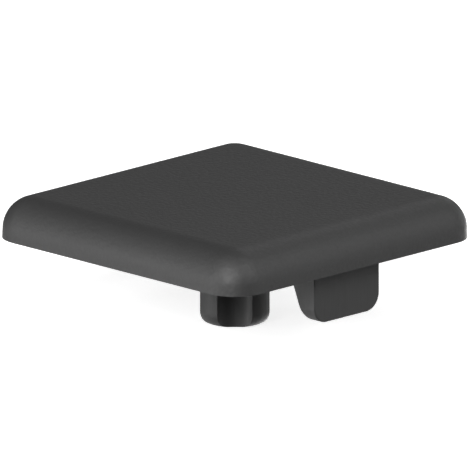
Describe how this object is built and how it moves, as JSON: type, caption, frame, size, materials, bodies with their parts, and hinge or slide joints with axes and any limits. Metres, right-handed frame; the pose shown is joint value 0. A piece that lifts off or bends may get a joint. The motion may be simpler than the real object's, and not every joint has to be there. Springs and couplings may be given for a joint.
{
  "type": "profile end cap",
  "caption": "Square moulded end cap with soft edges; a fluted core pin and slot tabs on its underside plug it into the end of a slotted profile.",
  "frame": {"origin": "centre of the underside, on the plane that lands on the sawn end of the profile", "axes": "+Z out of the visible top face, along the profile and away from it; +X towards one slot tab; the cover's sides lie along X and Y"},
  "size_m": [0.03, 0.03, 0.0112],
  "materials": {
    "moulded_plastic": "fine satin grain"
  },
  "bodies": {
    "root": {"end_cap": "moulded_plastic"}
  },
  "joints": []
}
